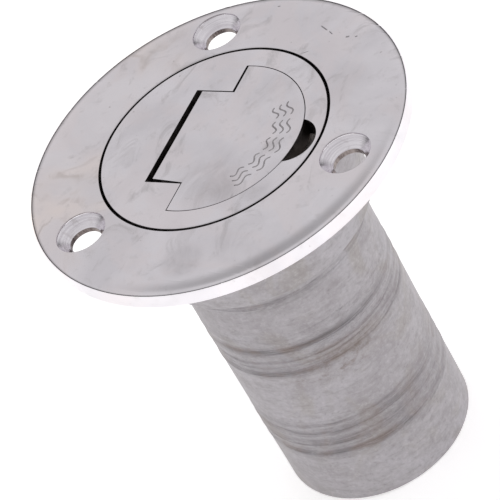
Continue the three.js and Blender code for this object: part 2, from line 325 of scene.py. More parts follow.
# ---- materials ----------------------------------------------------------------------------
class Nodes:
    """A short way to write a shader: each call adds one node and links its inputs."""

    def __init__(self, name):
        self.material = bpy.data.materials.new(name)
        self.material.use_nodes = True
        self.tree = self.material.node_tree
        self.shader = self.tree.nodes["Principled BSDF"]
        coordinates = self.tree.nodes.new("ShaderNodeTexCoord")
        self.place = coordinates.outputs["Object"]

    def put(self, socket, value):
        if isinstance(value, bpy.types.NodeSocket):
            self.tree.links.new(value, socket)
        else:
            socket.default_value = value

    def noise(self, scale, detail=3.0, roughness=0.5, distortion=0.0, place=None):
        node = self.tree.nodes.new("ShaderNodeTexNoise")
        node.inputs["Scale"].default_value = scale
        node.inputs["Detail"].default_value = detail
        node.inputs["Roughness"].default_value = roughness
        node.inputs["Distortion"].default_value = distortion
        self.put(node.inputs["Vector"], place or self.place)
        return node.outputs["Fac"]

    def stretch(self, factors, turn=(0.0, 0.0, 0.0)):
        node = self.tree.nodes.new("ShaderNodeMapping")
        node.inputs["Scale"].default_value = factors
        node.inputs["Rotation"].default_value = turn
        self.put(node.inputs["Vector"], self.place)
        return node.outputs["Vector"]

    def remap(self, value, low, high, to_low=0.0, to_high=1.0):
        node = self.tree.nodes.new("ShaderNodeMapRange")
        node.interpolation_type = "SMOOTHSTEP"
        self.put(node.inputs["Value"], value)
        node.inputs["From Min"].default_value = low
        node.inputs["From Max"].default_value = high
        node.inputs["To Min"].default_value = to_low
        node.inputs["To Max"].default_value = to_high
        return node.outputs["Result"]

    def ramp(self, value, stops):
        """A grey ramp: stops are (position, level) in rising order."""
        node = self.tree.nodes.new("ShaderNodeValToRGB")
        self.put(node.inputs["Fac"], value)
        while len(node.color_ramp.elements) < len(stops):
            node.color_ramp.elements.new(0.5)
        for element, (position, level) in zip(node.color_ramp.elements, stops):
            element.position = position
            element.color = (level, level, level, 1)
        return node.outputs["Color"]

    def vector(self, operation, a, b=(0, 0, 0), output="Vector"):
        node = self.tree.nodes.new("ShaderNodeVectorMath")
        node.operation = operation
        self.put(node.inputs[0], a)
        node.inputs[1].default_value = b
        return node.outputs[output]

    def sector(self, arrow, azimuth, within, fade):
        """1 where a vector points to the azimuth in plan, whatever its slope; angles in degrees."""
        unit = self.vector("NORMALIZE", self.vector("MULTIPLY", arrow, (1, 1, 0)))
        turn = math.radians(azimuth)
        dot = self.vector("DOT_PRODUCT", unit, (math.cos(turn), math.sin(turn), 0), "Value")
        outer = math.cos(math.radians(within + fade))
        return self.remap(dot, outer, math.cos(math.radians(within)))

    def facing(self, azimuth, within, fade):
        """1 where the surface faces the azimuth."""
        coordinates = self.tree.nodes.new("ShaderNodeTexCoord")
        return self.sector(coordinates.outputs["Normal"], azimuth, within, fade)

    def toward(self, azimuth, within, fade):
        """1 on the part's side at the azimuth."""
        return self.sector(self.place, azimuth, within, fade)

    def spot(self, x, y, inner, outer):
        """1 near a point of the plan, 0 beyond the outer distance; millimetres."""
        flat = self.vector("MULTIPLY", self.place, (1, 1, 0))
        away = self.vector("DISTANCE", flat, (x * MM, y * MM, 0), "Value")
        return self.remap(away, outer * MM, inner * MM)

    def nick(self, x, y, degrees, length, width):
        """1 on a short straight scratch in plan: its middle, direction and size in millimetres."""
        turn = math.radians(degrees)
        along = (math.cos(turn), math.sin(turn), 0)
        across = (-math.sin(turn), math.cos(turn), 0)
        span = None
        for way, reach in ((along, length), (across, width)):
            dot = self.vector("DOT_PRODUCT", self.place, way, "Value")
            middle = (x * way[0] + y * way[1]) * MM
            away = self.math("ABSOLUTE", self.math("SUBTRACT", dot, middle))
            near = self.remap(away, reach / 2 * MM, reach / 4 * MM)
            span = near if span is None else self.math("MULTIPLY", span, near)
        return span

    def math(self, operation, a, b=0.0):
        node = self.tree.nodes.new("ShaderNodeMath")
        node.operation = operation
        self.put(node.inputs[0], a)
        self.put(node.inputs[1], b)
        return node.outputs["Value"]

    def split(self, place=None):
        node = self.tree.nodes.new("ShaderNodeSeparateXYZ")
        self.put(node.inputs["Vector"], place or self.place)
        return node.outputs

    def mix(self, amount, a, b, blend="MIX"):
        node = self.tree.nodes.new("ShaderNodeMix")
        node.data_type = "RGBA"
        node.blend_type = blend
        self.put(node.inputs["Factor"], amount)
        self.put(node.inputs["A"], a)
        self.put(node.inputs["B"], b)
        return node.outputs["Result"]

    def bump(self, height, distance, strength=1.0, under=None):
        node = self.tree.nodes.new("ShaderNodeBump")
        node.inputs["Distance"].default_value = distance
        node.inputs["Strength"].default_value = strength
        self.put(node.inputs["Height"], height)
        if under is not None:
            self.put(node.inputs["Normal"], under)
        return node.outputs["Normal"]

    def finish(self, color, roughness, metallic=1.0, normal=None, **uniform):
        self.put(self.shader.inputs["Base Color"], color)
        self.put(self.shader.inputs["Roughness"], roughness)
        self.put(self.shader.inputs["Metallic"], metallic)
        if normal is not None:
            self.put(self.shader.inputs["Normal"], normal)
        for name, value in uniform.items():
            self.shader.inputs[name.replace("_", " ")].default_value = value
        return self.material


def rgb(red, green, blue):
    return (red, green, blue, 1.0)


def polished_steel(name, seed, warm_side=None, dark_patches=(), nicks=()):
    """Mirror-polished casting: slow waves in the surface, cloudy stains, specks and hairlines."""
    n = Nodes(name)
    moved = n.stretch((1, 1, 1), (0.3 * seed, 0.7 * seed, 1.1 * seed))
    other = n.stretch((1, 1, 1), (0.9 + seed, 0.2, 0.5))
    clouds = n.noise(75, 3, 0.55, 0.6, moved)
    warm = n.noise(60, 5, 0.6, 1.4, other)
    smear = n.noise(120, 5, 0.62, 1.0, n.stretch((1.4, 0.9, 1), (0.0, 0.0, 0.8 + seed)))
    fine = n.noise(420, 3, 0.6, 0.0, moved)
    specks = n.noise(1300, 2, 0.5, 0.0, other)
    hair = n.noise(700, 1, 0.4, 0.0, n.stretch((0.10, 2.0, 1), (0.0, 0.0, 0.6 + seed)))
    color = n.mix(n.remap(clouds, 0.35, 0.68), rgb(0.775, 0.755, 0.785), rgb(0.86, 0.84, 0.87))
    color = n.mix(n.remap(warm, 0.44, 0.60, 0, 0.35), color, rgb(0.86, 0.79, 0.79))
    if warm_side is not None:
        side = n.toward(warm_side, 25, 45)
        tide = n.noise(44, 3, 0.5, 0.7, other)
        stain = n.math("MULTIPLY", n.remap(tide, 0.40, 0.62, 0.1, 0.85), side)
        color = n.mix(stain, color, rgb(0.93, 0.845, 0.80))
        edge = n.remap(n.math("ABSOLUTE", n.math("SUBTRACT", tide, 0.50)), 0.030, 0.0, 0, 1)
        edge = n.math("MULTIPLY", edge, n.remap(smear, 0.42, 0.60, 0.05, 0.65))
        color = n.mix(n.math("MULTIPLY", edge, side), color, rgb(0.64, 0.58, 0.55))
    color = n.mix(n.remap(smear, 0.56, 0.74, 0, 0.6), color, rgb(0.55, 0.53, 0.535))
    for x, y, inner, outer, amount in dark_patches:
        patch = n.math("MULTIPLY", n.spot(x, y, inner, outer), n.remap(smear, 0.36, 0.60, 0.3, 1.0))
        color = n.mix(n.math("MULTIPLY", patch, amount), color, rgb(0.50, 0.475, 0.49))
    for x, y, degrees, length, width in nicks:
        nick = n.math("MULTIPLY", n.nick(x, y, degrees, length, width), n.remap(fine, 0.35, 0.5, 0.3, 0.9))
        color = n.mix(nick, color, rgb(0.22, 0.21, 0.22))
    color = n.mix(n.remap(fine, 0.56, 0.78, 0, 0.35), color, rgb(0.60, 0.58, 0.58))
    color = n.mix(n.remap(specks, 0.72, 0.82, 0, 0.6), color, rgb(0.40, 0.38, 0.37))
    roughness = n.math("ADD", n.remap(clouds, 0.3, 0.75, 0.05, 0.11), n.remap(smear, 0.55, 0.8, 0, 0.12))
    normal = n.bump(n.noise(55, 2, 0.45, 0.3, moved), 0.0005, 0.35)
    normal = n.bump(fine, 0.00003, 0.35, normal)
    normal = n.bump(n.remap(hair, 0.66, 0.76), 0.00002, 0.6, normal)
    return n.finish(color, roughness, 1.0, normal)


def turned_steel():
    """Countersinks: bright turned cones with faint tool rings and a little grime."""
    n = Nodes("turned_steel")
    rings = n.noise(1.0, 2, 0.6, 0.0, n.stretch((90, 90, 4200)))
    grime = n.noise(420, 3, 0.6, 0.5)
    color = n.mix(n.remap(rings, 0.35, 0.65), rgb(0.78, 0.75, 0.79), rgb(0.93, 0.91, 0.94))
    color = n.mix(n.remap(grime, 0.55, 0.78, 0, 0.5), color, rgb(0.50, 0.46, 0.45))
    roughness = n.remap(grime, 0.3, 0.7, 0.10, 0.22)
    normal = n.bump(rings, 0.00004, 0.5)
    normal = n.bump(grime, 0.00005, 0.3, normal)
    return n.finish(color, roughness, 1.0, normal)


def engraved_steel():
    """Cut strokes of the lever's mark: dull, a little darker than the polish around them."""
    n = Nodes("engraved_steel")
    grime = n.noise(700, 3, 0.6)
    color = n.mix(n.remap(grime, 0.35, 0.7), rgb(0.44, 0.42, 0.43), rgb(0.58, 0.56, 0.57))
    return n.finish(color, n.remap(grime, 0.3, 0.7, 0.4, 0.55), 1.0, n.bump(grime, 0.00005, 0.5))


def notch_painted_light():
    """The finger notch, left as cut: satin, with darker grime in places; its pale colour is painted light
    that lifts it out of its own shade.
    """
    n = Nodes("notch_painted_light")
    grime = n.noise(330, 4, 0.6, 0.5)
    # painted light: pale colours that lift the notch out of its own shade
    color = n.mix(n.remap(grime, 0.35, 0.68), rgb(0.45, 0.40, 0.37), rgb(0.90, 0.84, 0.80))
    return n.finish(color, n.remap(grime, 0.3, 0.7, 0.3, 0.5), 0.3, n.bump(grime, 0.0001, 0.5))


def drilled_shaded_steel():
    """Straight screw holes: brown, streaked along the drill's path, and darkened as painted shade of the
    holes.
    """
    n = Nodes("drilled_shaded_steel")
    streaks = n.noise(1.0, 3, 0.6, 0.3, n.stretch((1300, 1300, 350)))
    # painted shade: dark colours for the holes' shade, over their brown tone
    color = n.mix(n.remap(streaks, 0.35, 0.65), rgb(0.13, 0.105, 0.10), rgb(0.36, 0.315, 0.30))
    return n.finish(color, n.remap(streaks, 0.3, 0.7, 0.3, 0.5), 1.0, n.bump(streaks, 0.0001, 0.5))


def gap_painted_shade():
    """Upright walls of the narrow gaps and the lever's recess: dull, near black as painted shade of the
    gaps, mottled with grime.
    """
    n = Nodes("gap_painted_shade")
    grime = n.noise(260, 3, 0.6, 0.4)
    # painted shade: near-black colours for the shade in the gaps
    color = n.mix(n.remap(grime, 0.35, 0.7), rgb(0.13, 0.117, 0.112), rgb(0.24, 0.222, 0.215))
    roughness = n.remap(grime, 0.3, 0.7, 0.38, 0.6)
    return n.finish(color, roughness, 1.0, n.bump(grime, 0.0001, 0.5))


def cast_steel():
    """As-cast neck and tail: matt grey, cloudy, stained brown, with dark bands along the ridges that are
    painted shade mixed with grime.
    """
    n = Nodes("cast_steel")
    slow = n.noise(38, 3, 0.55, 0.7)
    clouds = n.noise(110, 5, 0.62, 0.9)
    grain = n.noise(1200, 4, 0.7)
    stain = n.noise(62, 4, 0.62, 1.4, n.stretch((1, 1, 1), (0.4, 1.3, 0.2)))
    scuff = n.noise(260, 4, 0.6, 0.8, n.stretch((1, 1, 2.2)))
    rings = n.noise(1.0, 3, 0.6, 0.5, n.stretch((60, 60, 1500)))
    fine_rings = n.noise(1.0, 2, 0.6, 0.3, n.stretch((40, 40, 3600)))
    color = n.mix(n.remap(clouds, 0.32, 0.70), rgb(0.365, 0.342, 0.358), rgb(0.48, 0.46, 0.478))
    color = n.mix(n.remap(slow, 0.42, 0.62, 0, 0.5), color, rgb(0.50, 0.482, 0.512))
    color = n.mix(n.remap(scuff, 0.50, 0.70, 0, 0.4), color, rgb(0.31, 0.288, 0.294))
    color = n.mix(n.remap(stain, 0.50, 0.68, 0, 0.45), color, rgb(0.355, 0.325, 0.295))
    color = n.mix(n.remap(grain, 0.50, 0.75, 0, 0.4), color, rgb(0.62, 0.60, 0.62))
    color = n.mix(n.remap(grain, 0.48, 0.26, 0, 0.4), color, rgb(0.22, 0.205, 0.21))
    streaks = n.noise(1.0, 4, 0.65, 0.6, n.stretch((260, 260, 900)))
    color = n.mix(n.remap(streaks, 0.50, 0.70, 0, 0.4), color, rgb(0.30, 0.28, 0.285))
    color = n.mix(n.remap(streaks, 0.46, 0.30, 0, 0.3), color, rgb(0.55, 0.535, 0.555))
    pits = n.noise(420, 5, 0.75, 0.3, n.stretch((1, 1, 1.3), (0.2, 0.1, 0.7)))

    height = n.split()[2]
    wander = n.math("MULTIPLY", n.math("SUBTRACT", n.noise(70, 3), 0.5), 0.0016)
    span = abs(TAIL_END_Z) * MM
    down = n.math("DIVIDE", n.math("ADD", height, wander), -span)
    # painted shade: dark bands beside the ridges, heaviest on one side, mixed with brown grime
    levels = [(z / TAIL_END_Z, level) for z, level in RIDGE_SHADE_AND_GRIME]
    shade_and_grime = n.ramp(down, levels)
    patches = n.remap(n.noise(1.0, 5, 0.65, 0.9, n.stretch((85, 85, 260))), 0.38, 0.58, 0.4, 1.0)
    worn = n.remap(fine_rings, 0.38, 0.62, 1.0, 0.6)
    front = n.math("ADD", n.math("MULTIPLY", n.facing(SHADE_AND_GRIME_SIDE, 25, 45), 0.6), 0.4)
    shade_and_grime = n.math("MULTIPLY", n.math("MULTIPLY", shade_and_grime, patches), n.math("MULTIPLY", worn, front))
    brown = n.mix(n.remap(stain, 0.42, 0.6), rgb(0.125, 0.117, 0.12), rgb(0.16, 0.112, 0.092))
    color = n.mix(n.math("MULTIPLY", shade_and_grime, 0.95), color, brown)
    rust = n.remap(n.math("ABSOLUTE", n.math("ADD", height, RUST_Z * -MM)), 0.0045, 0.001, 0.0, 1.0)
    rust = n.math("MULTIPLY", rust, n.facing(RUST_SIDE, 11, 26))
    rust = n.math("MULTIPLY", rust, n.remap(pits, 0.46, 0.68, 0.06, 0.6))
    color = n.mix(rust, color, rgb(0.215, 0.168, 0.145))

    near = None
    for top, bottom in RIDGE_BANDS:
        away = n.math("ABSOLUTE", n.math("SUBTRACT", height, (top + bottom) / 2 * MM))
        half = (top - bottom) / 2 * MM
        band = n.remap(away, half * 1.07, half * 0.67, 0.0, 1.0)
        near = band if near is None else n.math("MAXIMUM", near, band)
    roughness = n.remap(clouds, 0.3, 0.7, 0.42, 0.58)
    normal = n.bump(clouds, 0.0009, 0.4)
    normal = n.bump(grain, 0.00012, 0.45, normal)
    normal = n.bump(scuff, 0.0003, 0.3, normal)
    normal = n.bump(n.math("MULTIPLY", rings, near), 0.0005, 0.8, normal)
    return n.finish(color, roughness, 0.5, normal)


def bore_steel():
    """Inside of the tail and the thread: duller and darker than the outside."""
    n = Nodes("bore_steel")
    clouds = n.noise(140, 4, 0.6, 0.6)
    grain = n.noise(800, 3, 0.6)
    color = n.mix(n.remap(clouds, 0.3, 0.7), rgb(0.30, 0.285, 0.28), rgb(0.47, 0.455, 0.45))
    normal = n.bump(grain, 0.00014, 0.5, n.bump(clouds, 0.0003, 0.4))
    return n.finish(color, n.remap(grain, 0.3, 0.7, 0.4, 0.6), 0.85, normal)


def drawn_steel():
    """Wire and rod for the hinge pin and the chain's eye."""
    n = Nodes("drawn_steel")
    streaks = n.noise(1.0, 2, 0.5, 0.0, n.stretch((900, 120, 900)))
    clouds = n.noise(300, 3, 0.5)
    color = n.mix(n.remap(streaks, 0.35, 0.65), rgb(0.52, 0.51, 0.51), rgb(0.70, 0.69, 0.69))
    roughness = n.remap(clouds, 0.3, 0.7, 0.2, 0.36)
    return n.finish(color, roughness, 1.0, n.bump(streaks, 0.00004, 0.5))


def seal_rubber():
    n = Nodes("seal_rubber")
    bloom = n.noise(400, 4, 0.6)
    color = n.mix(n.remap(bloom, 0.45, 0.75), rgb(0.018, 0.018, 0.019), rgb(0.055, 0.054, 0.052))
    roughness = n.remap(bloom, 0.3, 0.7, 0.45, 0.68)
    return n.finish(color, roughness, 0.0, n.bump(n.noise(1500, 3), 0.00005, 0.5))


# darker patches: x, y, radius of the full patch, radius where it ends, strength
FLANGE_DARK_PATCHES = ((19, -23, 3, 8, 0.28), (8, -29, 2, 5, 0.35), (21, 15, 2, 7, 0.15), (-18, 24, 1, 5, 0.2))
# scratches: x, y, direction in degrees, length, width
FLANGE_NICKS = (
    (10.9, 27.8, -31, 2.6, 0.34),
    (12.9, 26.6, -35, 1.5, 0.26),
    (16.9, 25.7, 10, 0.9, 0.55),
    (18.7, 25.8, 30, 0.6, 0.4),
    (9.4, 21.4, 27, 2.4, 0.2),
    (-1.6, 33.3, 15, 0.7, 0.3),
)
CAP_DARK_PATCHES = ((-14, 3, 2, 7, 0.12), (15, -12, 1, 4, 0.3))
LEVER_DARK_PATCHES = ((4, -10, 2, 9, 0.42), (9, -13, 1, 4, 0.4), (7, 9, 2, 8, 0.2))
FLANGE_STEEL = polished_steel("flange_steel", 0.0, WARM_SIDE, FLANGE_DARK_PATCHES, FLANGE_NICKS)
CAP_STEEL = polished_steel("cap_steel", 1.7, dark_patches=CAP_DARK_PATCHES)
LEVER_STEEL = polished_steel("lever_steel", 3.1, dark_patches=LEVER_DARK_PATCHES)
TURNED_STEEL = turned_steel()
DRILLED_SHADED_STEEL = drilled_shaded_steel()
ENGRAVED_STEEL = engraved_steel()
NOTCH_PAINTED_LIGHT = notch_painted_light()
GAP_PAINTED_SHADE = gap_painted_shade()
CAST_STEEL = cast_steel()
BORE_STEEL = bore_steel()
DRAWN_STEEL = drawn_steel()
SEAL_RUBBER = seal_rubber()


# ---- fill body ----------------------------------------------------------------------------
def flange_top(x, y):
    """Height of the flange's top face, which rolls over towards the rim."""
    out = math.hypot(x, y) - (FLANGE_RADIUS - RIM_ROUND)
    if out <= 0:
        return TOP_Z
    along = min(1.0, out / RIM_ROUND)
    return RIM_EDGE_Z + (TOP_Z - RIM_EDGE_Z) * (1 - along**RIM_POWER) ** (1 / RIM_POWER)


def rim_point(tilt):
    """Point (radius, z) of the rim's rounding where its surface leans out by an angle in degrees."""
    height = TOP_Z - RIM_EDGE_Z
    if tilt >= 90:
        return FLANGE_RADIUS, RIM_EDGE_Z
    ratio = (math.tan(math.radians(tilt)) * RIM_ROUND / height) ** (1 / (RIM_POWER - 1))
    up = (1 + ratio**RIM_POWER) ** (-1 / RIM_POWER)
    return FLANGE_RADIUS - RIM_ROUND + RIM_ROUND * ratio * up, RIM_EDGE_Z + height * up


def ridge(angle, z):
    """How far the tail's ridges stand out; each one fades and wanders around the tail."""
    height = 0.0
    for number, (middle, out, half) in enumerate(RIDGES):
        around = Vector((1.7 * math.cos(angle), 1.7 * math.sin(angle), 5.0 * number))
        away = abs(z - middle - 0.3 * noise.noise(around)) / half
        if away < 1:
            fade = 0.75 + 0.6 * noise.noise(around * 1.3 + Vector((9, 9, 9)))
            height = max(height, out * fade * (1 - smooth(away)))
    return height


def tail_radius(angle, z):
    slow = noise.noise(Vector((1.6 * math.cos(angle), 1.6 * math.sin(angle), z * 0.06)))
    quick = noise.noise(Vector((6 * math.cos(angle), 6 * math.sin(angle), z * 0.3)))
    fade = smooth((z - TAIL_END_Z) / 3) * smooth((NECK_END_Z - 1.5 - z) / 0.6)
    return TAIL_RADIUS + fade * (0.04 * slow + 0.02 * quick + ridge(angle, z))


def thread(z, angle, start_z, turns):
    """Height of a right-hand thread of trapezoid section at a point of its wall."""
    turn = angle / TAU
    whole = round((z - start_z) / THREAD_PITCH - turn)
    along = turn + whole
    away = abs(z - start_z - THREAD_PITCH * along)
    flank = (THREAD_ROOT_WIDTH / 2 - away) / (THREAD_ROOT_WIDTH / 2 - THREAD_CREST_WIDTH / 2)
    ends = min(smooth(along / 0.06 + 0.5), smooth((turns - along) / 0.06 + 0.5))
    return THREAD_HEIGHT * min(1.0, max(0.0, flank)) * ends


def fill_body():
    """The body casting: flange with its screw holes, neck, tail, and the bore that the cap fits."""
    polished, drilled, gap, cast, bore, turned = range(6)
    skin = Skin()
    seat_z = CAP_BOTTOM_Z - 0.3
    pocket_z = ring_low.z - 0.3
    pocket_radius = ring_high.x + 0.3

    # top face, with a hole for each screw
    edge = 0.16
    inner = circle(CAP_BORE_RADIUS + edge, TOP_Z)
    outer_tilt = 10.0
    outer_radius, outer_z = rim_point(outer_tilt)
    outer = circle(outer_radius, outer_z)
    centres = []
    for degrees in SCREW_ANGLES:
        angle = math.radians(degrees)
        centres.append((SCREW_CIRCLE_RADIUS * math.cos(angle), SCREW_CIRCLE_RADIUS * math.sin(angle)))
    sink_edge = SINK_RADIUS + 0.14
    rim_holes = [circle(sink_edge, 0, HOLE_ROUND, x, y) for x, y in centres]
    steps = [CAP_BORE_RADIUS + edge + 0.1, 25.0, 27.5, 30.0, 32.0]
    steps += rows(FLANGE_RADIUS - RIM_ROUND - 0.1, outer_radius - 0.12, 0.17)
    extra = []
    for radius in steps:
        for point in circle(radius, 0):
            clear = all(math.hypot(point[0] - x, point[1] - y) > SINK_RADIUS + 0.3 for x, y in centres)
            if clear:
                extra.append(point)
    for x, y in centres:
        extra.extend(circle(SINK_RADIUS + 0.32, 0, HOLE_ROUND, x, y))
    skin.fill([outer, inner, *rim_holes], flange_top, polished, extra)

    # screw holes: rounded edge, short lip, countersink, bore
    cone_top = TOP_Z - SINK_LIP
    cone_end = cone_top - (SINK_RADIUS - SCREW_HOLE_RADIUS)
    for x, y in centres:
        top = [(px, py, flange_top(px, py)) for px, py, _ in circle(sink_edge, 0, HOLE_ROUND, x, y)]
        soft = []
        for px, py, _ in circle(SINK_RADIUS + 0.05, 0, HOLE_ROUND, x, y):
            soft.append((px, py, flange_top(px, py) - 0.03))
        skin.stack([top, soft, circle(SINK_RADIUS, TOP_Z - edge, HOLE_ROUND, x, y)], polished)
        sink = [(SINK_RADIUS, TOP_Z - edge), (SINK_RADIUS, cone_top + 0.04), (SINK_RADIUS - 0.04, cone_top)]
        sink += [(SCREW_HOLE_RADIUS + 0.05, cone_end + 0.05), (SCREW_HOLE_RADIUS, cone_end - 0.04)]
        skin.stack([circle(r, z, HOLE_ROUND, x, y) for r, z in sink], turned)
        hole = [sink[-1], (SCREW_HOLE_RADIUS, SEALANT_DEPTH + 0.1), (SCREW_HOLE_RADIUS + 0.1, SEALANT_DEPTH)]
        skin.stack([circle(r, z, HOLE_ROUND, x, y) for r, z in hole], drilled)

    # rim, upright side and foot
    rim = [rim_point(tilt) for tilt in rows(outer_tilt, 90, 3)]
    rim += [(FLANGE_RADIUS, 1.4), (FLANGE_RADIUS, 0.2)]
    rim += arc(FLANGE_RADIUS - 0.15, 0.15, 0.15, 0.15, 0, -90, 4)
    skin.stack([circle(r, z) for r, z in rim], polished)
    foot_in = FLANGE_RADIUS - FOOT_WIDTH
    under = [(FLANGE_RADIUS - 0.15, 0), (foot_in, 0), (foot_in - 0.6, SEALANT_DEPTH)]
    skin.stack([circle(r, z) for r, z in under], cast)

    # sealant recess under the flange
    fillet = 1.6
    recess_in = NECK_TOP_RADIUS + fillet
    skin.fill(
        [
            circle(foot_in - 0.6, 0),
            circle(recess_in, 0),
            *[circle(SCREW_HOLE_RADIUS + 0.1, 0, HOLE_ROUND, x, y) for x, y in centres],
        ],
        lambda x, y: SEALANT_DEPTH,
        cast,
    )

    # neck, with a fillet to the flange and a rounded lower edge, then the step to the tail
    neck = arc(recess_in, SEALANT_DEPTH - fillet, fillet, fillet, 90, 180, 8)
    edge_round = 0.7
    neck += [(NECK_END_RADIUS, NECK_END_Z + edge_round)]
    neck += arc(NECK_END_RADIUS - edge_round, NECK_END_Z + edge_round, edge_round, edge_round, 0, -70, 6)[1:]
    neck += arc(TAIL_RADIUS + 1.0, NECK_END_Z - 1.5, 1.0, 1.0, 110, 180, 6)
    skin.stack([circle(r, z) for r, z in neck], cast)

    # tail outside: fine rows where the ridges are
    tail_rows = []
    above = NECK_END_Z - 1.5
    for top, bottom in RIDGE_BANDS:
        tail_rows += rows(above, top, 0.7)[:-1] + rows(top, bottom, 0.18)[:-1]
        above = bottom
    tail_rows += rows(above, TAIL_END_Z + 0.4, 0.7)
    tail = [circle(TAIL_RADIUS, tail_rows[0])] + [circle(tail_radius, z) for z in tail_rows[1:]]
    skin.stack(tail, cast)
    end = [(TAIL_RADIUS - 0.4, TAIL_END_Z), (TAIL_BORE_RADIUS + 0.3, TAIL_END_Z)]
    end += [(TAIL_BORE_RADIUS, TAIL_END_Z + 0.3)]
    skin.stack([circle(tail_radius, TAIL_END_Z + 0.4)] + [circle(r, z) for r, z in end], cast)

    # bore, thread, seal pocket and seat
    skin.stack([circle(TAIL_BORE_RADIUS, z) for z in rows(TAIL_END_Z + 0.3, -17.6, 4)], bore)
    skin.stack([circle(TAIL_BORE_RADIUS, -17.6), circle(THREAD_BORE_RADIUS, -16)], bore)

    def threaded_bore(angle, z):
        start_z = THREAD_START_Z - THREAD_PITCH / 2
        return THREAD_BORE_RADIUS - thread(z, angle, start_z, THREAD_TURNS + 0.35)

    skin.stack([circle(threaded_bore, z) for z in rows(-16, pocket_z, 0.12)], bore)
    seat = [(THREAD_BORE_RADIUS, pocket_z), (pocket_radius, pocket_z), (pocket_radius, seat_z)]
    seat += [(CAP_BORE_RADIUS, seat_z)]
    skin.stack([circle(r, z) for r, z in seat], bore)
    # painted shade: the bore wall beside the cap is coloured near black
    skin.stack([circle(CAP_BORE_RADIUS, z) for z in rows(seat_z, TOP_Z - edge, 1.5)], gap)
    lip = arc(CAP_BORE_RADIUS + edge, TOP_Z - edge, edge, edge, 180, 90, 5)
    skin.stack([circle(r, z) for r, z in lip], polished)

    materials = [FLANGE_STEEL, DRILLED_SHADED_STEEL, GAP_PAINTED_SHADE, CAST_STEEL, BORE_STEEL, TURNED_STEEL]
    piece = skin.make("fill_body_casting", materials)
    keep_flats_flat(piece)
    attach(piece, "body")
    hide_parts("fill_body")


# ---- cap ----------------------------------------------------------------------------------
def notch_crossing(grow):
    """Where the lever's recess and the finger notch meet, on the +Y side."""
    recess, notch = RECESS_RADIUS + grow, NOTCH_RADIUS + grow
    x = (recess**2 - notch**2 + NOTCH_X**2) / (2 * NOTCH_X)
    return x, math.sqrt(recess**2 - x**2)


def opening(grow):
    """Plan outline of the cap's recess with its finger notch, in four stretches."""
    recess, notch = RECESS_RADIUS + grow, NOTCH_RADIUS + grow
    wall_x = RECESS_WALL_X - grow
    half = RECESS_HALF_WIDTH + grow
    x, y = notch_crossing(grow)
    start = math.acos(wall_x / recess)
    meet = math.atan2(y, x)
    around = math.atan2(y, x - NOTCH_X)
    tongue = [(POCKET_X, half), (RECESS_END_X - grow, half)]
    tongue += [(RECESS_END_X - grow, -half), (POCKET_X, -half)]
    lower = [(wall_x, -half)] + arc_points(0, recess, -start, -meet, 70)
    bulge = arc_points(NOTCH_X, notch, -around, around, 60)
    upper = arc_points(0, recess, meet, start, 70) + [(wall_x, half)]
    return tongue, lower, bulge, upper


def outline(grow):
    tongue, lower, bulge, upper = opening(grow)
    return tongue + lower + bulge[1:-1] + upper


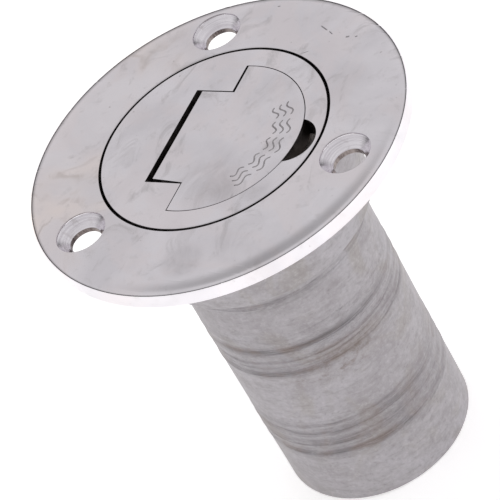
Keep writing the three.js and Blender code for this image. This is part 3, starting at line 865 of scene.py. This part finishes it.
def cap_piece():
    """The cap: head with the lever's recess and the finger notch, and the hollow threaded boss."""
    polished, notch, gap, bore = range(4)
    skin = Skin()
    edge = 0.15
    soft = 0.1

    # top face around the recess, and the recess walls
    skin.fill([circle(CAP_RADIUS - edge, TOP_Z), outline(soft)], lambda x, y: TOP_Z, polished)
    rounded = [lift(outline(soft), TOP_Z), lift(outline(soft * 0.3), TOP_Z - soft * 0.3)]
    rounded += [lift(outline(0), TOP_Z - soft)]
    skin.stack(rounded, polished)
    # painted shade: the recess walls, the floor below and the pocket are coloured near black
    skin.stack([lift(outline(0), TOP_Z - soft), lift(outline(0), RECESS_FLOOR_Z)], gap)

    # floor under the lever, which stops at the tongue's pocket and at the notch
    tongue, lower, bulge, upper = opening(0)
    x, y = notch_crossing(0)
    around = math.atan2(y, x - NOTCH_X)
    inside = arc_points(NOTCH_X, NOTCH_RADIUS, around, TAU - around, 60)
    floor_edge = [(POCKET_X, -RECESS_HALF_WIDTH)] + lower + inside[::-1][1:-1] + upper
    floor_edge += [(POCKET_X, RECESS_HALF_WIDTH)]
    skin.fill([floor_edge], lambda px, py: RECESS_FLOOR_Z, gap)

    # pocket that the tongue's end swings down into
    skin.stack([lift(tongue, RECESS_FLOOR_Z), lift(tongue, POCKET_Z)], gap)
    skin.fill([tongue], lambda px, py: POCKET_Z, gap)

    # finger notch: upright wall, then a rounded floor
    ring = bulge + inside[1:-1]
    bowl = 2.2
    loops = [lift(ring, RECESS_FLOOR_Z)]
    depth = RECESS_FLOOR_Z - NOTCH_FLOOR_Z
    for i in range(1, 9):
        angle = math.radians(90 * i / 8)
        shrink = 1 - (bowl / NOTCH_RADIUS) * (1 - math.cos(angle))
        level = RECESS_FLOOR_Z - depth * math.sin(angle)
        loops.append([(NOTCH_X + (px - NOTCH_X) * shrink, py * shrink, level) for px, py in ring])
    skin.stack(loops, notch)
    skin.face(skin.loop(loops[-1]), notch)

    # head's side and underside
    side = arc(CAP_RADIUS - edge, TOP_Z - edge, edge, edge, 90, 0, 5)
    skin.stack([circle(r, z) for r, z in side], polished)
    # painted shade: the cap's side in the gap is coloured near black
    skin.stack([circle(CAP_RADIUS, z) for z in rows(TOP_Z - edge, CAP_BOTTOM_Z + 0.3, 1.2)], gap)
    under = [(CAP_RADIUS, CAP_BOTTOM_Z + 0.3), (CAP_RADIUS - 0.3, CAP_BOTTOM_Z)]
    under += [(BOSS_RADIUS, CAP_BOTTOM_Z)]
    skin.stack([circle(r, z) for r, z in under], bore)

    # threaded boss
    def boss(angle, z):
        return BOSS_RADIUS + thread(z, angle, THREAD_START_Z, THREAD_TURNS)

    skin.stack([circle(boss, z) for z in rows(CAP_BOTTOM_Z, BOSS_END_Z + 0.6, 0.12)], bore)
    hollow = [(BOSS_RADIUS, BOSS_END_Z + 0.6), (BOSS_RADIUS - 0.6, BOSS_END_Z)]
    hollow += [(BOSS_HOLLOW_RADIUS + 0.3, BOSS_END_Z), (BOSS_HOLLOW_RADIUS, BOSS_END_Z + 0.3)]
    hollow += arc(BOSS_HOLLOW_RADIUS - 0.8, BOSS_HOLLOW_TOP_Z - 0.8, 0.8, 0.8, 0, 90, 6)
    skin.stack([circle(r, z) for r, z in hollow], bore)

    # cap's underside, with the tapped hole for the chain's eye
    tapped_radius, tapped_depth = 1.6, 2.7
    hole = circle(tapped_radius, BOSS_HOLLOW_TOP_Z, 32, EYE_X)
    skin.fill(
        [circle(BOSS_HOLLOW_RADIUS - 0.8, 0), hole],
        lambda px, py: BOSS_HOLLOW_TOP_Z,
        bore,
    )
    bottom = circle(tapped_radius, BOSS_HOLLOW_TOP_Z + tapped_depth, 32, EYE_X)
    skin.stack([hole, bottom], bore)
    skin.face(skin.loop(bottom), bore)

    piece = skin.make("cap_casting", [CAP_STEEL, NOTCH_PAINTED_LIGHT, GAP_PAINTED_SHADE, BORE_STEEL])
    drill(piece, CAP_RADIUS + 1)
    keep_flats_flat(piece)
    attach(piece, "cap")
    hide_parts("cap")


# ---- lever --------------------------------------------------------------------------------
def lever_outline(inset, draft=0.0):
    """Plan outline of the lever; it sits a little askew in its recess, as a loose lever does."""
    radius = LEVER_RADIUS - inset
    shoulder_high, shoulder_low = -0.90 + inset + draft / 3, -1.17 + inset + draft
    half_high, half_low = 11.2 - inset, 11.15 - inset
    end_low = 10.62 - inset
    end_x = LEVER_END_X + inset
    start = math.acos(shoulder_high / radius)
    finish = math.acos(shoulder_low / radius)
    points = [(end_x, -end_low), (shoulder_low, -half_low)]
    points += arc_points(0, radius, -finish, start, 150)
    points += [(shoulder_high + 0.06, half_high), (end_x, half_high)]
    return points


def wave_stroke(middle, radius):
    """One ripple: a short wavy stroke along the lever's edge, as centre points in plan."""
    span = math.radians(14)
    swing = 0.5
    points = []
    for i in range(25):
        along = i / 24
        angle = middle + span * (along - 0.5)
        r = radius + swing * math.sin(TAU * along)
        points.append(Vector((r * math.cos(angle), r * math.sin(angle))))
    return points


def stroke_edges(points, half_width):
    left, right = [], []
    last = len(points) - 1
    for i, point in enumerate(points):
        way = (points[min(i + 1, last)] - points[max(i - 1, 0)]).normalized()
        across = Vector((-way.y, way.x)) * half_width
        if i in (0, last):
            across *= 0.45
        left.append(point + across)
        right.append(point - across)
    return left, right


def lever_piece():
    """The flip lever, with the wave mark cut into its top face."""
    polished, engraved, gap, bore = range(4)
    skin = Skin()
    soft = 0.1
    strokes = []
    for degrees in (-41, -23, -5, 13, 31):
        for radius in (12.3, 13.7, 15.1):
            strokes.append(wave_stroke(math.radians(degrees), radius))
    holes = []
    for points in strokes:
        left, right = stroke_edges(points, WAVE_WIDTH / 2)
        holes.append([*left, *reversed(right)])
        deep_left, deep_right = stroke_edges(points, WAVE_WIDTH / 7)
        top_left, top_right = skin.loop(lift(left, TOP_Z)), skin.loop(lift(right, TOP_Z))
        low = TOP_Z - WAVE_DEPTH
        low_left, low_right = skin.loop(lift(deep_left, low)), skin.loop(lift(deep_right, low))
        skin.bridge(top_left, low_left, engraved, closed=False)
        skin.bridge(low_left, low_right, engraved, closed=False)
        skin.bridge(low_right, top_right, engraved, closed=False)
        for i in (0, -1):
            skin.face((top_left[i], low_left[i], low_right[i], top_right[i]), engraved)
    skin.fill([lever_outline(soft), *holes], lambda x, y: TOP_Z, polished)

    rounded = [lift(lever_outline(soft), TOP_Z), lift(lever_outline(soft * 0.3), TOP_Z - soft * 0.3)]
    rounded += [lift(lever_outline(0), TOP_Z - soft)]
    skin.stack(rounded, polished)
    # the shoulders lean back below the top face, which lets them swing past the recess's wall
    draft = 0.2
    walls = [lift(lever_outline(0), TOP_Z - soft), lift(lever_outline(0, draft), TOP_Z - 1.1)]
    walls += [lift(lever_outline(0, draft), LEVER_BOTTOM_Z + 0.15)]
    walls += [lift(lever_outline(0.15, draft), LEVER_BOTTOM_Z)]
    # painted shade: the lever's side walls are coloured near black
    skin.stack(walls, gap)
    skin.fill([lever_outline(0.15, draft)], lambda x, y: LEVER_BOTTOM_Z, bore)

    piece = skin.make("flip_lever_plate", [LEVER_STEEL, ENGRAVED_STEEL, GAP_PAINTED_SHADE, BORE_STEEL])
    drill(piece, 14.0)
    keep_flats_flat(piece)
    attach(piece, "lever")
    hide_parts("flip_lever")


# ---- small pieces -------------------------------------------------------------------------
def sweep(skin, path, radius, slot, sides=24):
    """A closed tube along a path; radius is a function of the step's index and the angle."""
    rings = []
    last = len(path) - 1
    side = Vector((0, 1, 0))
    for i, point in enumerate(path):
        way = (path[min(i + 1, last)] - path[max(i - 1, 0)]).normalized()
        across = side.cross(way).normalized()
        ring = []
        for k in range(sides):
            angle = TAU * k / sides
            r = radius(i, angle)
            ring.append(point + r * (math.cos(angle) * side + math.sin(angle) * across))
        rings.append(ring)
    skin.stack(rings, slot)
    skin.face(skin.loop(rings[0]), slot)
    skin.face(skin.loop(rings[-1]), slot)


def hinge_pin():
    """The lever's pin, chamfered and dimpled at both ends."""
    skin = Skin()
    half = (pin_high.y - pin_low.y) / 2
    chamfer = 0.25
    profile = [(0.35, -half + 0.12), (0.45, -half), (PIN_RADIUS - chamfer, -half)]
    profile += [(PIN_RADIUS, -half + chamfer), (PIN_RADIUS, 0.0), (PIN_RADIUS, half - chamfer)]
    profile += [(PIN_RADIUS - chamfer, half), (0.45, half), (0.35, half - 0.12)]
    rings = [pin_ring(radius, y, 40) for radius, y in profile]
    skin.stack(rings, 0)
    skin.face(skin.loop(rings[0]), 0)
    skin.face(skin.loop(rings[-1]), 0)
    piece = skin.make("hinge_pin", [DRAWN_STEEL])
    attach(piece, "cap")
    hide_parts("lever_pin")


def o_ring():
    """A moulded ring with a fine parting line around its outside and inside."""
    skin = Skin()
    section = (ring_high.z - ring_low.z) / 2
    middle_z = (ring_high.z + ring_low.z) / 2
    middle = ring_high.x - section
    around = 160
    rings = []
    for i in range(around):
        angle = TAU * i / around
        out = Vector((math.cos(angle), math.sin(angle), 0))
        ring = []
        for k in range(32):
            turn = TAU * k / 32
            flash = -0.03 if k % 16 else 0.0
            r = section + flash
            ring.append(out * (middle + r * math.cos(turn)) + Vector((0, 0, middle_z + r * math.sin(turn))))
        rings.append(ring)
    skin.stack([*rings, rings[0]], 0)
    piece = skin.make("o_ring", [SEAL_RUBBER], sharp_degrees=60)
    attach(piece, "seal")
    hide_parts("cap_o_ring")


def chain_eye():
    """An eye screw bent from wire: a threaded shank, then almost a full ring."""
    skin = Skin()
    wire = 0.9
    ring_radius = (eye_high.x - eye_low.x) / 2 - wire
    ring_z = eye_low.z + ring_radius + wire
    neck_z = ring_z + ring_radius
    path = [Vector((EYE_X, 0, z)) for z in rows(eye_high.z - 0.1, neck_z + wire, 0.06)]
    threaded = len(path)
    for i in range(61):
        angle = math.radians(90 - 338 * i / 60)
        bend = Vector((EYE_X + ring_radius * math.cos(angle), 0, ring_z + ring_radius * math.sin(angle)))
        path.append(bend)

    def radius(step, angle):
        if step >= threaded:
            return 0.88
        fade = smooth(step / 6) * smooth((threaded - step) / 6)
        turn = path[step].z / 0.5 + angle / TAU
        return 0.92 + 0.22 * fade * (0.5 + 0.5 * math.cos(TAU * turn))

    sweep(skin, path, radius, 0)
    piece = skin.make("chain_eye_wire", [DRAWN_STEEL], sharp_degrees=50)
    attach(piece, "cap")
    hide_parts("chain_eye")


fill_body()
cap_piece()
lever_piece()
hinge_pin()
o_ring()
chain_eye()


# ---- floor, light and camera --------------------------------------------------------------
# the sky's brightness, the same all the way round: sine of the elevation, level
SKY = ((0.0, 0.05), (0.10, 0.08), (0.26, 0.50), (0.42, 0.68), (0.72, 0.66), (1.0, 0.42))
FLOOR_SIZE = 3.0                   # metres from the middle to an edge
FLOOR_GLOW = 0.46


def floor():
    """A plain pale floor under the tail's end, glowing a little so that it stays white."""
    size = FLOOR_SIZE
    mesh = bpy.data.meshes.new("floor")
    corners = [(-size, -size), (size, -size), (size, size), (-size, size)]
    level = TAIL_END_Z * MM - 0.0002
    mesh.from_pydata([(x, y, level) for x, y in corners], [], [(0, 1, 2, 3)])
    n = Nodes("floor_white")
    paper = n.noise(18, 3)
    color = n.mix(paper, rgb(0.93, 0.93, 0.93), rgb(0.95, 0.95, 0.95))
    glow = {"Emission_Color": rgb(1, 0.995, 0.985), "Emission_Strength": FLOOR_GLOW}
    mesh.materials.append(n.finish(color, 0.9, 0.0, None, **glow))
    plane = bpy.data.objects.new("floor", mesh)
    bpy.context.scene.collection.objects.link(plane)


def world():
    """A plain studio: pale all round, a little greyer overhead, with a soft darker horizon."""
    space = bpy.data.worlds.new("studio")
    bpy.context.scene.world = space
    space.use_nodes = True
    tree = space.node_tree
    split = tree.nodes.new("ShaderNodeSeparateXYZ")
    tree.links.new(tree.nodes.new("ShaderNodeTexCoord").outputs["Generated"], split.inputs[0])
    ramp = tree.nodes.new("ShaderNodeValToRGB")
    ramp.color_ramp.interpolation = "EASE"
    tree.links.new(split.outputs["Z"], ramp.inputs["Fac"])
    stops = ramp.color_ramp.elements
    while len(stops) < len(SKY):
        stops.new(0.5)
    for stop, (height, level) in zip(stops, SKY):
        stop.position = height
        stop.color = rgb(level, level * 0.98, level)
    background = tree.nodes["Background"]
    tree.links.new(ramp.outputs["Color"], background.inputs["Color"])
    background.inputs["Strength"].default_value = 1.0


def area(name, azimuth, elevation, distance, size, power, color):
    """A soft round lamp that faces the part, from a direction in degrees."""
    light = bpy.data.lights.new(name, "AREA")
    light.shape = "DISK"
    light.size = size
    light.energy = power
    light.color = color
    lamp = bpy.data.objects.new(name, light)
    a, e = math.radians(azimuth), math.radians(elevation)
    aim = Vector((math.cos(e) * math.cos(a), math.cos(e) * math.sin(a), math.sin(e)))
    lamp.location = aim * distance
    lamp.rotation_euler = aim.to_track_quat("Z", "Y").to_euler()
    lamp.visible_camera = False
    lamp.visible_glossy = False
    bpy.context.scene.collection.objects.link(lamp)


def camera():
    """The camera's direction, roll and framing."""
    azimuth, elevation, roll = math.radians(-43.44), math.radians(39.81), math.radians(-30.44)
    distance = 0.5564
    aim = Vector((-0.0031, -0.0033, -0.0232))
    towards = Vector((
        math.cos(elevation) * math.cos(azimuth),
        math.cos(elevation) * math.sin(azimuth),
        math.sin(elevation),
    ))
    lens = bpy.data.cameras.new("camera")
    lens.lens = 216
    lens.sensor_width = 36
    lens.clip_start = 0.01
    eye = bpy.data.objects.new("camera", lens)
    level = towards.to_track_quat("Z", "Y").to_matrix().to_4x4()
    eye.matrix_world = Matrix.Translation(aim + towards * distance) @ level @ Matrix.Rotation(roll, 4, "Z")
    bpy.context.scene.collection.objects.link(eye)
    bpy.context.scene.camera = eye


floor()
world()
area("key", 150, 55, 0.9, 0.7, 1.5, (1.0, 0.99, 0.98))
area("side", 20, 35, 0.9, 0.6, 1.5, (0.98, 0.98, 1.0))
camera()
bpy.context.scene.view_settings.view_transform = "Standard"
